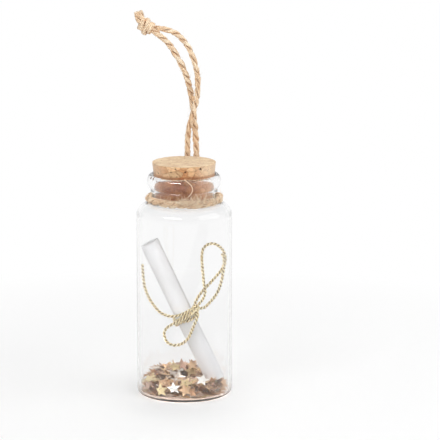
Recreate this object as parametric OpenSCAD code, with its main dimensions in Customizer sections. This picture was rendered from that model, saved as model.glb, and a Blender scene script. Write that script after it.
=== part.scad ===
// Message in a bottle: a corked glass vial that holds a tied paper scroll and a heap of star
// confetti, with a twine tied round its neck that rises into a hanging loop.
// Millimetres. +Z is up, the origin is the centre of the base, and the front faces -Y.

/* [Bottle] */
// Outer diameter of the body
body_d = 37; // [35:0.5:42]
// Height of the glass, from the base to the crest of the lip
bottle_h = 87; // [84:1:110]
// Wall of the body
wall_t = 1.2; // [0.8:0.1:1.6]
// Thickness of the glass under the contents
base_t = 1.8; // [1.2:0.1:4]
// Radius of the edge round the base
base_edge_r = 1.5; // [0.8:0.1:2.5]
// Radius of the bend at the shoulder
shoulder_r = 4.5; // [3.5:0.1:5]
// Diameter of the bore through the neck
bore_d = 23.1; // [20:0.1:24]
// Wall of the neck in its groove
neck_wall = 0.8; // [0.6:0.1:1.2]
// Height of the groove between the shoulder and the lip
groove_h = 3.9; // [3.4:0.1:6]
// Height of the rolled lip
lip_h = 7.3; // [6.5:0.1:9]
// How far the lip stands out from the groove
lip_out = 1.95; // [1.5:0.05:2.2]
// Radius of the lip's round outer face
lip_r = 5.25; // [4.8:0.05:7]
// Radius of the rounded edge of the mouth
mouth_r = 0.9; // [0.5:0.1:1.1]

/* [Stopper] */
// Diameter of the stopper's top
stopper_top_d = 24.7; // [24.2:0.1:27]
// Height of the stopper
stopper_h = 13.3; // [10:0.1:16]
// Height of its top above the edge of the bore
stopper_proud = 5.7; // [4:0.1:8]
// Radial clearance to the bore where it is closest
stopper_gap = 0.08; // [0.05:0.01:0.2]
// Width of the worn edges at its two ends
stopper_edge = 0.3; // [0.1:0.1:0.8]

/* [Twine] */
// Diameter of the twine
twine_d = 2.6; // [2:0.1:2.8]
// Gap between the ring of twine and the glass
twine_seat = 0.05; // [0.02:0.01:0.2]
// Width of a pulled-tight turn in the knot behind the neck
neck_knot_d = 2.1; // [1.6:0.1:2.2]
// Gap between that knot and the shoulder under it
neck_knot_seat = 0.2; // [0.1:0.05:0.5]
// Gap between that knot and the loop that swings over it
loop_gap = 0.4; // [0.3:0.1:1]
// Length of the cut tails past the middle of the upper knot
tail_len = 6.8; // [5:0.1:12]
// Diameter of a cut tail
tail_d = 2; // [1.5:0.1:2.2]

/* [Scroll] */
// Diameter of the rolled sheet
scroll_d = 8; // [7:0.1:9]
// Length of the rolled sheet
scroll_len = 59.5; // [54:0.5:62]
// Thickness of the paper
paper_t = 0.2; // [0.1:0.05:0.3]
// Step from one turn of the roll to the next
sheet_step = 0.45; // [0.4:0.05:0.7]
// Number of turns in the roll
sheet_turns = 2.5; // [1.5:0.25:4]
// Gap between the wall and the scroll's upper end
top_gap = 0.5; // [0.3:0.1:2]
// Gap between the wall and the scroll's foot
foot_gap = 1.6; // [1:0.1:3]

/* [Tie] */
// Diameter of the metallic cord
cord_d = 1; // [0.8:0.05:1.2]
// Gap between the turns and the paper
tie_seat = 0.05; // [0.02:0.01:0.2]
// Gap between one turn and the next
turn_gap = 0.45; // [0.42:0.01:0.8]
// Number of turns round the scroll
tie_turns = 2; // [1:1:4]
// Distance of the middle turn from the scroll's foot
tie_place = 26.6; // [24:0.1:32]
// Diameter of the bow's knot
tie_knot_d = 3; // [2.4:0.1:3.4]

/* [Confetti] */
// Size of a star from tip to opposite point
star_d = 6; // [4:0.5:7]
// Thickness of the foil
star_t = 0.2; // [0.1:0.05:0.3]
// Inner corners of a star as a share of its tips
star_waist = 0.45; // [0.35:0.05:0.6]
// Rise from one layer of stars to the next
layer_rise = 0.95; // [0.85:0.05:1.3]
// Lean of each star
star_lean = 5; // [0:0.5:6]
// Least gap between stars in a layer
star_gap = 0.3; // [0.1:0.1:1]
// Gap between the stars and the glass
star_wall_gap = 0.4; // [0.3:0.1:1]
// Depth of the heap at the middle
heap_h = 4.6; // [3:0.1:8]
// Rise of the heap towards the back, per millimetre
heap_slope = 0.14; // [0:0.01:0.2]
// Fall of the heap towards the right, per millimetre
heap_fall = 0.05; // [0:0.01:0.1]

/* [Hidden] */
$fn = 48;

glass_tint = [0.86, 0.9, 0.9, 0.35];
cork_tan = [0.85, 0.66, 0.45];
jute_tan = [0.8, 0.66, 0.5];
paper_white = [0.94, 0.94, 0.93];
cord_gold = [0.87, 0.74, 0.48];
foil_gold = [0.9, 0.78, 0.52];
foil_champagne = [0.93, 0.87, 0.76];
foil_amber = [0.8, 0.6, 0.36];
foil_bronze = [0.48, 0.33, 0.26];

// Bottle
body_r = body_d / 2;
inner_r = body_r - wall_t;
bore_r = bore_d / 2;
neck_r = bore_r + neck_wall;
lip_z = bottle_h - lip_h;
lip_max_r = neck_r + lip_out;
lip_mid_z = lip_z + lip_h / 2;
mouth_z = bottle_h - mouth_r;
neck_z = lip_z - groove_h;
shoulder_z = neck_z - shoulder_r;
inner_shoulder_r = shoulder_r - wall_t;
inner_edge_r = base_edge_r;

// Twine: the knot sits behind the neck, just right of the middle as seen from the front
ring_r = neck_r + twine_seat + twine_d / 2;
ring_z = neck_z + groove_h / 2;
neck_knot_a = 78;
neck_knot_half_a = 7;
neck_knot_turn_r = 0.45 * twine_d;
neck_knot_r = neck_knot_d / 2 + neck_knot_turn_r;
neck_knot_reach = ring_r + 0.6 * twine_d;
neck_knot_z = neck_z + neck_knot_r + neck_knot_seat;
neck_knot_at = [
    neck_knot_reach * cos(neck_knot_a), neck_knot_reach * sin(neck_knot_a), neck_knot_z
];
loop_z = neck_knot_r + loop_gap;
top_knot_at = [-18.2, 1, 64.2];
top_knot_lean = -48;
top_knot_turn_r = 0.62 * twine_d;
crossing_turn_r = 0.72 * twine_d;
crossing_turn_lean = 35;
tail_lean = -18;
tail_splay = 2;
tail_side = 0.54 * tail_d;

// Routes of the two strands of the hanging loop, from the knot behind the neck
left_strand = [
    [-1.7, 0.7, loop_z], [-1.9, 1.3, 8], [-2, 1.5, 13], [-2, 1.6, 18], [-1.5, 1.2, 23.5],
    [-0.2, 0.2, 28.5], [1.2, 0, 34], [2.1, 0.3, 39.5], [1.8, 0.9, 45.5], [0.3, 1.4, 51.5],
    [-2.2, 1.8, 56.7], [-6, 2.1, 60.8], [-10.8, 2.2, 62.7], [-16.2, 2.2, 63.3]
];
right_strand = [
    [1.2, 0.3, loop_z], [1.4, 0.9, 8], [1.5, 1.6, 13], [1.3, 2.1, 18], [0.9, 2.8, 23.5],
    [0.5, 3.3, 28.5], [-0.1, 3.2, 34], [-1.2, 2.5, 40], [-3, 1.6, 46.1], [-5.9, 0.8, 52.1],
    [-9.4, 0, 57.6], [-14.2, -0.8, 61.9]
];

// Scroll: it leans from its foot on the right to the wall on the left
lean_span = 2 * inner_r - top_gap - foot_gap;
function scroll_lean(n) =
    n == 0 ? 25 : asin((lean_span - scroll_d * cos(scroll_lean(n - 1))) / scroll_len);
lean = scroll_lean(6);
scroll_r = scroll_d / 2;
star_rise = star_d / 2 * sin(star_lean) + star_t / 2;
star_floor_gap = 0.05;
first_layer_z = base_t + star_rise + star_floor_gap;
foot_layer = 1;
foot_seat = 0.3;
foot_at = [
    inner_r - foot_gap - scroll_r * cos(lean), 0,
    first_layer_z + foot_layer * layer_rise + star_rise + foot_seat + scroll_r * sin(lean)
];
sheet_end_a = -40;
sheet_step_a = 15;

// Tie: routes start at the bow's knot and are seen along the scroll, x across it and z along it
turn_pitch = cord_d + turn_gap;
turn_r = scroll_r + tie_seat + cord_d / 2;
turn_rings = 24;
turn_sides = 6;
knot_a = -27;
knot_r = scroll_r + tie_knot_d / 2 + tie_seat;
knot_rise = 2.5;
tie_knot_lean = 50;
tight_cord_d = 1.3 * cord_d;
tie_knot_at = [knot_r * cos(knot_a), knot_r * sin(knot_a), knot_rise];
tie_left_route = [
    [-0.8, -0.6, 0.6], [-2.8, -1.9, 0.8], [-5.4, -2.8, 0.8], [-7.6, -2.8, 1.2], [-9.7, -2.6, 2],
    [-11.6, -2.3, 3.6], [-12.9, -1.9, 5.7], [-13.8, -1.4, 9.2], [-14.2, -0.8, 12.6],
    [-13.8, -0.1, 16.4], [-12.8, 0.6, 20], [-11, 1.1, 24.7]
];
tie_lower_route = [
    [-0.7, -1.1, -0.4], [-3.3, -3, -0.9], [-6.7, -3.4, -1], [-9.8, -3.7, -1],
    [-12, -3.9, -1.2], [-14, -4.1, -2.2], [-15, -4.2, -4.5], [-14.7, -4.2, -7.1],
    [-12.8, -4, -9], [-9.9, -3.6, -9.6], [-7, -3.2, -8.7], [-4.6, -3, -6.7], [-2.4, -3, -4.7],
    [-0.5, -2.9, -2.8], [0.3, -0.9, -0.9]
];
tie_upper_route = [
    [0.7, -0.6, 0.8], [2.9, -1.3, 1.7], [5, -2, 3], [6.6, -2.2, 5], [7.3, -2.2, 7.2],
    [8.2, -2.2, 9.9], [9.3, -2.1, 12.8], [10.4, -2, 15.8], [11.6, -1.9, 18.5], [13.1, -1.7, 20.6],
    [15.2, -1.4, 21.4], [17.3, -1, 20.9], [18.8, -0.6, 19.3], [19.6, -0.1, 17], [19.5, 0.2, 14.6],
    [18.6, 0.4, 12.3], [16, 0.3, 9.9], [12.8, 0, 8.3], [9.6, -0.4, 7], [6.8, -0.4, 5.8],
    [4, 0, 4.4], [1.6, 0.3, 2.6], [0.3, 0.5, 1.1]
];
tie_right_route = [
    [1, -0.5, -0.2], [3.6, -1.6, -0.6], [6.4, -2.2, 0.4], [9.3, -2.5, 1.9], [12, -2.7, 4],
    [14.2, -2.8, 6.6], [16.1, -2.8, 9.3], [17.8, -2.8, 12.1], [18.9, -2.9, 14.7],
    [18.9, -3, 16.2]
];

// Confetti
star_reach = star_d / 2;
heap_top = heap_h + (heap_slope + heap_fall) * inner_r;
layers = ceil((base_t + heap_top - first_layer_z) / layer_rise);
layer_turn = 31;
star_turn = 53;
star_scroll_gap = 0.3;
star_groups = 4;
standing_at = [176, 204, 118, 62, 26];
standing_r = sqrt(pow(inner_r, 2) - pow(star_reach, 2)) - star_wall_gap - star_t / 2;

// Turns of a knot lie closer than the cord is thick, because it is pulled tight
knot_step = 0.9;

function unit(v) = v / norm(v);
function last(list) = list[len(list) - 1];

// Direction of a route at one of its points
function heading(path, i) =
    i == 0 ? unit(path[1] - path[0])
    : i == len(path) - 1 ? unit(path[i] - path[i - 1])
    : unit(unit(path[i] - path[i - 1]) + unit(path[i + 1] - path[i]));

// Round section of a route at one of its points, with its corners counted from the side vector
function section(at, along, side, d, sides) =
    let (u = unit(cross(along, side)), v = cross(along, u))
    [for (k = [0:sides - 1]) at + d / 2 * (cos(360 * k / sides) * u + sin(360 * k / sides) * v)];

// Closed tube along a route
module tube(path, d, sides, side = [0, 1, 0]) {
    rings = len(path);
    corners = [for (i = [0:rings - 1]) each section(path[i], heading(path, i), side, d, sides)];
    walls = [
        for (i = [0:rings - 2], k = [0:sides - 1])
            let (a = i * sides + k, b = i * sides + (k + 1) % sides)
            each [[a, b, a + sides], [b, b + sides, a + sides]]
    ];
    end = (rings - 1) * sides;
    ends = [for (k = [1:sides - 2]) each [[0, k + 1, k], [end, end + k, end + k + 1]]];
    polyhedron(corners, concat(walls, ends), convexity = 6);
}

// One turn of a cord pulled tight round itself, about Z
module tight_turn(d, r) {
    rotate_extrude()
        intersection() {
            translate([r, 0]) circle(d = d);
            translate([0, -d]) square([r + d, 2 * d]);
        }
}

// Side-by-side tight turns, about Z
module knot_turns(d, r, count) {
    for (i = [0:count - 1])
        translate([0, 0, (i - (count - 1) / 2) * knot_step * d]) tight_turn(d, r);
}

module bottle_outline() {
    translate([0, base_edge_r]) square([body_r, shoulder_z - base_edge_r]);
    square([body_r - base_edge_r, base_edge_r]);
    translate([body_r - base_edge_r, base_edge_r]) circle(base_edge_r);
    translate([body_r - shoulder_r, shoulder_z]) circle(shoulder_r);
    translate([0, shoulder_z]) square([body_r - shoulder_r, shoulder_r]);
    translate([0, neck_z]) square([neck_r, lip_h + groove_h]);
    intersection() {
        translate([lip_max_r - lip_r, lip_mid_z]) circle(lip_r);
        translate([0, lip_z]) square([lip_max_r, lip_h]);
    }
}

module bottle_hollow() {
    translate([0, base_t + inner_edge_r]) square([inner_r, shoulder_z - base_t - inner_edge_r]);
    translate([0, base_t]) square([inner_r - inner_edge_r, inner_edge_r]);
    translate([inner_r - inner_edge_r, base_t + inner_edge_r]) circle(inner_edge_r);
    translate([inner_r - inner_shoulder_r, shoulder_z]) circle(inner_shoulder_r);
    translate([0, shoulder_z]) square([inner_r - inner_shoulder_r, inner_shoulder_r]);
    translate([0, shoulder_z]) square([bore_r, bottle_h - shoulder_z + mouth_r]);
    difference() {
        translate([bore_r, mouth_z]) square([mouth_r, 2 * mouth_r]);
        translate([bore_r + mouth_r, mouth_z]) circle(mouth_r);
    }
}

module bottle() {
    color(glass_tint)
        rotate_extrude()
            intersection() {
                difference() {
                    bottle_outline();
                    bottle_hollow();
                }
                square([body_r, bottle_h]);
            }
}

module stopper() {
    taper = (stopper_top_d / 2 - bore_r + stopper_gap) / stopper_proud;
    top_r = stopper_top_d / 2;
    foot_r = top_r - taper * stopper_h;
    color(cork_tan)
        translate([0, 0, mouth_z + stopper_proud - stopper_h])
            rotate_extrude()
                polygon([
                    [0, 0], [foot_r - stopper_edge, 0], [foot_r, stopper_edge],
                    [top_r - taper * stopper_edge, stopper_h - stopper_edge],
                    [top_r - stopper_edge, stopper_h], [0, stopper_h]
                ]);
}

module neck_twine() {
    color(jute_tan)
        translate([0, 0, ring_z])
            rotate([0, 0, neck_knot_a + neck_knot_half_a])
                rotate_extrude(angle = 360 - 2 * neck_knot_half_a)
                    translate([ring_r, 0]) circle(d = twine_d);
}

module neck_knot() {
    color(jute_tan)
        translate(neck_knot_at)
            rotate([0, 90, 0]) knot_turns(neck_knot_d, neck_knot_turn_r, 2);
}

module loop_strand_left() {
    color(jute_tan) translate(neck_knot_at) tube(left_strand, twine_d, 8);
}

module loop_strand_right() {
    color(jute_tan) translate(neck_knot_at) tube(right_strand, twine_d, 8);
}

module top_knot() {
    color(jute_tan)
        translate(neck_knot_at + top_knot_at)
            rotate([0, top_knot_lean, 0]) {
                knot_turns(twine_d, top_knot_turn_r, 2);
                rotate([crossing_turn_lean, 0, 0]) tight_turn(twine_d, crossing_turn_r);
            }
}

module knot_tails() {
    color(jute_tan)
        translate(neck_knot_at + top_knot_at)
            rotate([0, tail_lean, 0])
                for (side = [-1, 1])
                    translate([side * tail_side, 0, 0])
                        rotate([0, side * tail_splay, 0]) cylinder(d = tail_d, h = tail_len);
}

module at_tie() {
    translate(foot_at) rotate([0, -lean, 0]) translate([0, 0, tie_place]) children();
}

module message_scroll() {
    steps = round(sheet_turns * 360 / sheet_step_a);
    turn_in = sheet_step / 360 * sheet_step_a;
    outer = [
        for (i = [0:steps])
            let (a = sheet_end_a - i * sheet_step_a, r = scroll_r - i * turn_in)
            r * [cos(a), sin(a)]
    ];
    inner = [
        for (i = [steps:-1:0])
            let (a = sheet_end_a - i * sheet_step_a, r = scroll_r - paper_t - i * turn_in)
            r * [cos(a), sin(a)]
    ];
    color(paper_white)
        translate(foot_at)
            rotate([0, -lean, 0]) linear_extrude(scroll_len) polygon(concat(outer, inner));
}

// The turns climb to the right in front and end straight, into the bow's knot
function turn_point(a) =
    [turn_r * cos(a), turn_r * sin(a), turn_pitch * ((a - knot_a) / 360 - tie_turns / 2)];

turn_points = [
    for (i = [0:turn_rings * tie_turns]) turn_point(knot_a + i * 360 / turn_rings)
];
turn_route = concat(
    [turn_points[0] - cord_d * unit(turn_points[1] - turn_points[0])],
    turn_points,
    [last(turn_points) + cord_d * unit(last(turn_points) - turn_points[len(turn_points) - 2])]
);

module tie_wraps() {
    color(cord_gold) at_tie() tube(turn_route, cord_d, turn_sides, [0, 0, 1]);
}

// Least gap of the turns to themselves, between points at least half a turn apart
turn_least_gap = min([
    for (i = [0:len(turn_route) - 1], j = [i + turn_rings / 2:1:len(turn_route) - 1])
        norm(turn_route[i] - turn_route[j]) - cord_d
]);
echo(turn_least_gap = turn_least_gap);

module tie_knot() {
    color(cord_gold)
        at_tie() translate(tie_knot_at)
            rotate([0, tie_knot_lean, 0])
                knot_turns(tight_cord_d, (tie_knot_d - tight_cord_d) / 2, 2);
}

module tie_cord(path) {
    color(cord_gold) at_tie() translate(tie_knot_at) tube(path, cord_d, 8);
}

module tie_upper_loop() {
    tie_cord(tie_upper_route);
}

module tie_lower_loop() {
    tie_cord(tie_lower_route);
}

module tie_left_tail() {
    tie_cord(tie_left_route);
}

module tie_right_tail() {
    tie_cord(tie_right_route);
}

module star() {
    linear_extrude(star_t, center = true)
        polygon([
            for (i = [0:9])
                star_reach * (i % 2 == 0 ? 1 : star_waist) * [sin(36 * i), cos(36 * i)]
        ]);
}

// Radius of the wall inside, which curves in towards the base
function wall_in_r(z) =
    inner_r - inner_edge_r
    + sqrt(pow(inner_edge_r, 2) - pow(max(0, base_t + inner_edge_r - z), 2));

// Places in a layer of the heap: one star in the middle and rings out to the wall
function layer_places(layer) =
    let (
        z = first_layer_z + layer * layer_rise,
        outer_r = wall_in_r(z - star_rise) - star_wall_gap - star_reach,
        rings = floor(outer_r / (star_d + star_gap))
    )
    [
        for (ring = [0:rings])
            let (
                r = rings == 0 ? 0 : outer_r * ring / rings,
                count = ring == 0 ? 1 : floor(180 / asin((star_d + star_gap) / 2 / r))
            )
            for (i = [0:count - 1])
                let (a = 360 * i / count + layer_turn * layer)
                [r * cos(a), r * sin(a), z]
    ];

function heap_height(p) = base_t + heap_h + heap_slope * p.y - heap_fall * p.x;

// Place of a point along the scroll from its foot, and its distance from the scroll's axis
scroll_along = [-sin(lean), 0, cos(lean)];
function along_scroll(p) = (p - foot_at) * scroll_along;
function from_scroll(p) = norm(p - foot_at - along_scroll(p) * scroll_along);

function clears_scroll(p) =
    from_scroll(p) > scroll_r + star_reach + star_scroll_gap
    || along_scroll(p) < -star_reach * sin(lean) - star_rise - star_scroll_gap;

heap_places = [
    for (layer = [0:layers])
        for (p = layer_places(layer))
            if (p.z + star_rise < heap_height(p) && clears_scroll(p)) p
];

module heap_star(i) {
    translate(heap_places[i])
        rotate([star_lean * cos(star_turn * i), star_lean * sin(star_turn * i), star_turn * i])
            star();
}

// A star that stands on the heap and leans on the glass, facing out
module standing_star(a) {
    foot = standing_r * [cos(a), sin(a), 0];
    under = max([
        for (p = heap_places) if (norm([p.x, p.y, 0] - foot) < star_d) p.z + star_rise
    ]);
    translate([foot.x, foot.y, under + star_floor_gap + star_reach])
        rotate([90, 0, a + 90]) star();
}

module star_group(group) {
    for (i = [group:star_groups:len(heap_places) - 1]) heap_star(i);
    for (i = [group:star_groups:len(standing_at) - 1]) standing_star(standing_at[i]);
}

module stars_gold() {
    color(foil_gold) star_group(0);
}

module stars_champagne() {
    color(foil_champagne) star_group(1);
}

module stars_amber() {
    color(foil_amber) star_group(2);
}

module stars_bronze() {
    color(foil_bronze) star_group(3);
}

bottle();
stopper();
neck_twine();
neck_knot();
loop_strand_left();
loop_strand_right();
top_knot();
knot_tails();
message_scroll();
tie_wraps();
tie_knot();
tie_upper_loop();
tie_lower_loop();
tie_left_tail();
tie_right_tail();
stars_gold();
stars_champagne();
stars_amber();
stars_bronze();
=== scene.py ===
"""Looks of a message in a bottle: clear glass vial, cork, jute twine, rolled paper with a metallic
cord tied round it, and a heap of foil stars. Lengths are metres, +Z is up and -Y is the front."""
import math
import random

import bmesh
import bpy
import numpy as np
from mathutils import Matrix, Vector, noise


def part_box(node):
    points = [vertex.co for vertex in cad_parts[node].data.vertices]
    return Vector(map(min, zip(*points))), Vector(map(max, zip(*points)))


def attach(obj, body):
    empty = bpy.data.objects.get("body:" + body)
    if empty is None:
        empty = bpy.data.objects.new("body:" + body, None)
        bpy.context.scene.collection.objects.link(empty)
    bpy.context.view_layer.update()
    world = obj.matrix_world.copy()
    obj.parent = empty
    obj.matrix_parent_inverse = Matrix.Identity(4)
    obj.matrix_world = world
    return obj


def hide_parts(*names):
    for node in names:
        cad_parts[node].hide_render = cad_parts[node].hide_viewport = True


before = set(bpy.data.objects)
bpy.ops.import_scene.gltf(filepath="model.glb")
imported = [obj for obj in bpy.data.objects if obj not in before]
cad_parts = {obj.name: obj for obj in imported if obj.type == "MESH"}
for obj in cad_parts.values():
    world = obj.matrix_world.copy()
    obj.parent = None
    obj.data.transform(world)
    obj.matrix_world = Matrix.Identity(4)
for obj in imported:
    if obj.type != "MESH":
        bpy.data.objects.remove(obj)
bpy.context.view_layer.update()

MM = 0.001

# The view: the picture is a square of IMAGE_PX pixels, and the focal length is in those pixels
IMAGE_PX = 440
FOCAL_PX = 3092
SENSOR_MM = 36
CAMERA_AT = (13.9 * MM, -1175 * MM, 311 * MM)
CAMERA_PITCH = 11.65

# Sizes taken from the frame, and the bottle's own that the frame doesn't give
BOTTLE_LOW, BOTTLE_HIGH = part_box("bottle")
STOPPER_LOW, STOPPER_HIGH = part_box("stopper")
BODY_R = BOTTLE_HIGH.x
BOTTLE_H = BOTTLE_HIGH.z
WALL = 1.2 * MM
FOOT_EDGE_R = 2.2 * MM
SHOULDER_R = 4.5 * MM
BORE_R = 11.55 * MM
NECK_R = 12.35 * MM
GROOVE_H = 3.9 * MM
LIP_H = 7.3 * MM
LIP_OUT = 1.95 * MM
LIP_IN = 1.2 * MM
LIP_HALF = 2.7 * MM
COLLAR_R = 1.05 * MM
INNER_R = BODY_R - WALL
LIP_Z = BOTTLE_H - LIP_H
NECK_Z = LIP_Z - GROOVE_H
SHOULDER_Z = NECK_Z - SHOULDER_R

# Twine
TWINE_D = 2.6 * MM
TWINE_SEAT = 0.05 * MM
RING_R = NECK_R + TWINE_SEAT + TWINE_D / 2
RING_Z = NECK_Z + GROOVE_H / 2 - 0.3 * MM
NECK_KNOT_A = 78
NECK_KNOT_D = 2.1 * MM
KNOT_LOW, KNOT_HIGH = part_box("neck_knot")
NECK_KNOT_AT = (KNOT_LOW + KNOT_HIGH) / 2
TOP_KNOT_FROM_NECK = (-18.2, 1, 64.2)
TOP_KNOT_LEAN = -48
JUTE_LAY = dict(pitch=8.6 * MM, sides=20, across=0.39, ridges=7, ridge=0.06, uneven=0.24)

# Scroll and its tie
SCROLL_D = 8 * MM
SCROLL_LEN = 60.1 * MM
SCROLL_LEAN = 25.118
SCROLL_FOOT = Vector((12.078, 0, 5.521)) * MM
PAPER_T = 0.2 * MM
SHEET_STEP = 0.45 * MM
SHEET_TURNS = 2.5
SHEET_END_A = -40
CORD_D = 1 * MM
CORD_W = 1.25 * MM
TIE_PLACE = 26.6 * MM
BOW_KNOT_A = -27
BOW_KNOT_R = 5.55 * MM
BOW_KNOT_RISE = 2.5 * MM
METAL_LAY = dict(pitch=2.8 * MM, sides=12, across=0.275, ridges=3, ridge=0.07, uneven=0.08)

# Routes in millimetres, from the knot behind the neck
LEFT_STRAND = [
    (-1.7, 0.7, 2.62), (-1.9, 1.3, 8), (-2, 1.5, 13), (-2, 1.6, 18), (-1.5, 1.2, 23.5),
    (-0.2, 0.2, 28.5), (1.2, 0, 34), (2.1, 0.3, 39.5), (1.8, 0.9, 45.5), (0.3, 1.4, 51.5),
    (-2.2, 1.8, 56.7), (-6, 2.1, 60.8), (-10.8, 2.2, 62.7), (-16.2, 2.2, 63.3),
]
RIGHT_STRAND = [
    (1.2, 0.3, 2.62), (1.4, 0.9, 8), (1.5, 1.6, 13), (1.3, 2.1, 18), (0.9, 2.8, 23.5),
    (0.5, 3.3, 28.5), (-0.1, 3.2, 34), (-1.2, 2.5, 40), (-3, 1.6, 46.1), (-5.9, 0.8, 52.1),
    (-9.4, 0, 57.6), (-14.2, -0.8, 61.9),
]

# Routes in millimetres, from the bow's knot, seen along the scroll
TIE_LEFT = [
    (-0.8, -0.6, 0.6), (-2.8, -1.9, 0.8), (-5.4, -2.8, 0.8), (-7.6, -2.8, 1.2), (-9.7, -2.6, 2),
    (-11.6, -2.3, 3.6), (-12.9, -1.9, 5.7), (-13.8, -1.4, 9.2), (-14.2, -0.8, 12.6),
    (-13.8, -0.1, 16.4), (-12.8, 0.6, 20), (-11, 1.1, 24.7),
]
TIE_LOWER = [
    (-0.7, -1.1, -0.4), (-3.3, -3, -0.9), (-6.7, -3.4, -1), (-9.8, -3.7, -1),
    (-12, -3.9, -1.2), (-14, -4.1, -2.2), (-15, -4.2, -4.5), (-14.7, -4.2, -7.1),
    (-12.8, -4, -9), (-9.9, -3.6, -9.6), (-7, -3.2, -8.7), (-4.6, -3, -6.7), (-2.4, -3, -4.7),
    (-0.5, -2.9, -2.8), (0.3, -0.9, -0.9),
]
TIE_UPPER = [
    (0.7, -0.6, 0.8), (2.9, -1.3, 1.7), (5, -2, 3), (6.6, -2.2, 5), (7.3, -2.2, 7.2),
    (8.2, -2.2, 9.9), (9.3, -2.1, 12.8), (10.4, -2, 15.8), (11.6, -1.9, 18.5), (13.1, -1.7, 20.6),
    (15.2, -1.4, 21.4), (17.3, -1, 20.9), (18.8, -0.6, 19.3), (19.6, -0.1, 17), (19.5, 0.2, 14.6),
    (18.6, 0.4, 12.3), (16, 0.3, 9.9), (12.8, 0, 8.3), (9.6, -0.4, 7), (6.8, -0.4, 5.8),
    (4, 0, 4.4), (1.6, 0.3, 2.6), (0.3, 0.5, 1.1),
]
TIE_RIGHT = [
    (1, -0.5, -0.2), (3.6, -1.6, -0.6), (6.4, -2.2, 0.4), (9.3, -2.5, 1.9), (12, -2.7, 4),
    (14.2, -2.8, 6.6), (16.1, -2.8, 9.3), (17.8, -2.8, 12.1), (18.9, -2.9, 14.7),
    (18.9, -3, 16.2),
]


def make_camera():
    data = bpy.data.cameras.new("camera")
    data.sensor_width = SENSOR_MM
    data.lens = FOCAL_PX / IMAGE_PX * SENSOR_MM
    camera = bpy.data.objects.new("camera", data)
    camera.location = CAMERA_AT
    camera.rotation_euler = (math.radians(90 - CAMERA_PITCH), 0, 0)
    bpy.context.scene.collection.objects.link(camera)
    bpy.context.scene.camera = camera


def srgb(r, g, b):
    """A colour given as it looks on a screen, 0 to 255, as the linear one that shaders take."""
    return tuple(
        v / 12.92 if v <= 0.04045 else ((v + 0.055) / 1.055) ** 2.4
        for v in (r / 255, g / 255, b / 255)
    ) + (1.0,)


class Nodes:
    """A short way to build the nodes of a material or of the world."""

    def __init__(self, owner):
        owner.use_nodes = True
        self.owner = owner
        self.tree = owner.node_tree
        self.tree.nodes.clear()

    def node(self, kind, inputs=None, **settings):
        made = self.tree.nodes.new("ShaderNode" + kind)
        for name, value in settings.items():
            setattr(made, name, value)
        for name, value in (inputs or {}).items():
            self.put(made.inputs[name], value)
        return made

    def put(self, socket, value):
        if isinstance(value, bpy.types.NodeSocket):
            self.tree.links.new(value, socket)
        else:
            socket.default_value = value

    def surface(self, shader, kind="OutputMaterial"):
        self.node(kind, {"Surface": shader})
        return self.owner

    def attribute(self, name, output="Vector"):
        return self.node("Attribute", attribute_name=name).outputs[output]

    def position(self):
        return self.node("TexCoord").outputs["Object"]

    def scaled(self, vector, scale):
        return self.node("Mapping", {"Vector": vector, "Scale": scale}).outputs["Vector"]

    def noise(self, vector, scale, detail=2.0, roughness=0.5, distortion=0.0, output="Fac"):
        made = self.node("TexNoise", {
            "Vector": vector, "Scale": scale, "Detail": detail,
            "Roughness": roughness, "Distortion": distortion,
        })
        return made.outputs[output]

    def cells(self, vector, scale, feature="F1", output="Distance"):
        made = self.node("TexVoronoi", {"Vector": vector, "Scale": scale}, feature=feature)
        return made.outputs[output]

    def ramp(self, value, *stops):
        made = self.node("ValToRGB", {"Fac": value})
        points = made.color_ramp.elements
        while len(points) < len(stops):
            points.new(0.5)
        for point, (at, colour) in zip(points, stops):
            point.position = at
            point.color = colour
        return made.outputs["Color"]

    def levels(self, value, low, high, to_low=0.0, to_high=1.0):
        made = self.node("MapRange", {
            "Value": value, "From Min": low, "From Max": high, "To Min": to_low, "To Max": to_high,
        })
        return made.outputs["Result"]

    def mix(self, share, a, b, blend="MIX"):
        made = self.node("MixRGB", {"Fac": share, "Color1": a, "Color2": b}, blend_type=blend)
        return made.outputs["Color"]

    def math(self, operation, a, b=0.0):
        made = self.node("Math", operation=operation)
        self.put(made.inputs[0], a)
        self.put(made.inputs[1], b)
        return made.outputs["Value"]

    def bump(self, height, distance, strength=1.0):
        made = self.node("Bump", {"Height": height, "Distance": distance, "Strength": strength})
        return made.outputs["Normal"]

    def principled(self, inputs):
        return self.node("BsdfPrincipled", inputs).outputs["BSDF"]


def material(name):
    return Nodes(bpy.data.materials.new(name))


def glass_material():
    """Clear glass that lets lamps light what is inside."""
    s = material("glass")
    ripple = s.noise(s.scaled(s.position(), (1, 1, 0.35)), 70, 1.0)
    glass = s.principled({
        "Base Color": (0.975, 0.975, 0.975, 1), "Roughness": 0.0, "IOR": 1.5,
        "Transmission Weight": 1.0, "Normal": s.bump(ripple, 0.03 * MM),
    })
    clear = s.node("BsdfTransparent", {"Color": (0.985, 0.985, 0.985, 1)}).outputs["BSDF"]
    shadow = s.node("LightPath").outputs["Is Shadow Ray"]
    mixed = s.node("MixShader", {"Fac": shadow})
    s.tree.links.new(glass, mixed.inputs[1])
    s.tree.links.new(clear, mixed.inputs[2])
    return s.surface(mixed.outputs["Shader"])


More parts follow.
